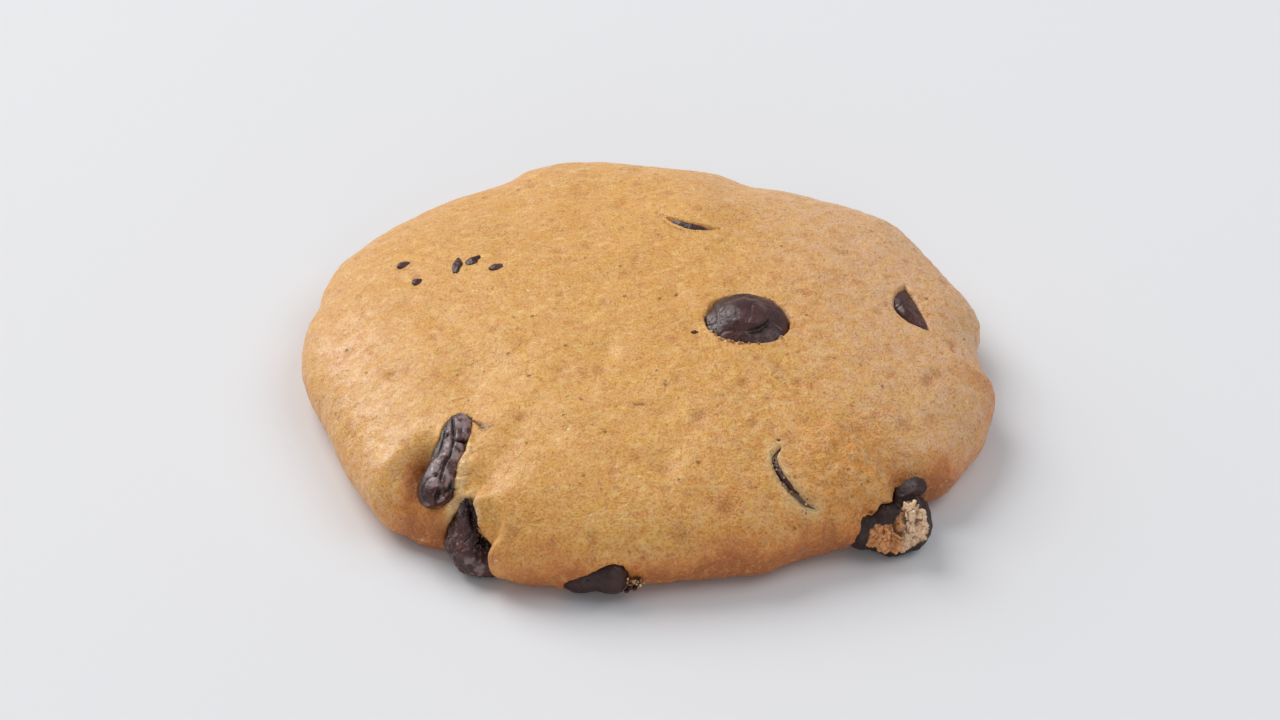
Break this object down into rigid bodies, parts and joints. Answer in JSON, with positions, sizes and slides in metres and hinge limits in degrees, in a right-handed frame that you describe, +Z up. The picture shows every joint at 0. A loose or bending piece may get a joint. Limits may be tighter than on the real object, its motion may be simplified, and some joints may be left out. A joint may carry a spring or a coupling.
{
  "type": "chocolate chip cookie",
  "caption": "Thick, soft round cookie of golden dough, domed on top and flat below, with dark chocolate chips baked into its top and rim.",
  "frame": {"origin": "middle of the flat base, where the cookie rests", "axes": "+Z up through the cookie's thickness, out of its domed top; -Y towards the side that the picture is taken from"},
  "size_m": [0.0881, 0.0837, 0.0171],
  "materials": {
    "dough": "baked golden dough, satin to matt, finely pored",
    "chocolate": "dark chocolate, satin, dusted with fine crumbs"
  },
  "bodies": {
    "root": {"dough": "dough", "chip_middle": "chocolate", "chip_back": "chocolate", "chip_right": "chocolate", "chip_slit": "chocolate", "chip_left": "chocolate", "chip_left_rim": "chocolate", "chip_front_rim": "chocolate", "chip_right_rim": "chocolate", "chip_back_rim_left": "chocolate", "chip_back_rim_right": "chocolate"}
  },
  "joints": []
}
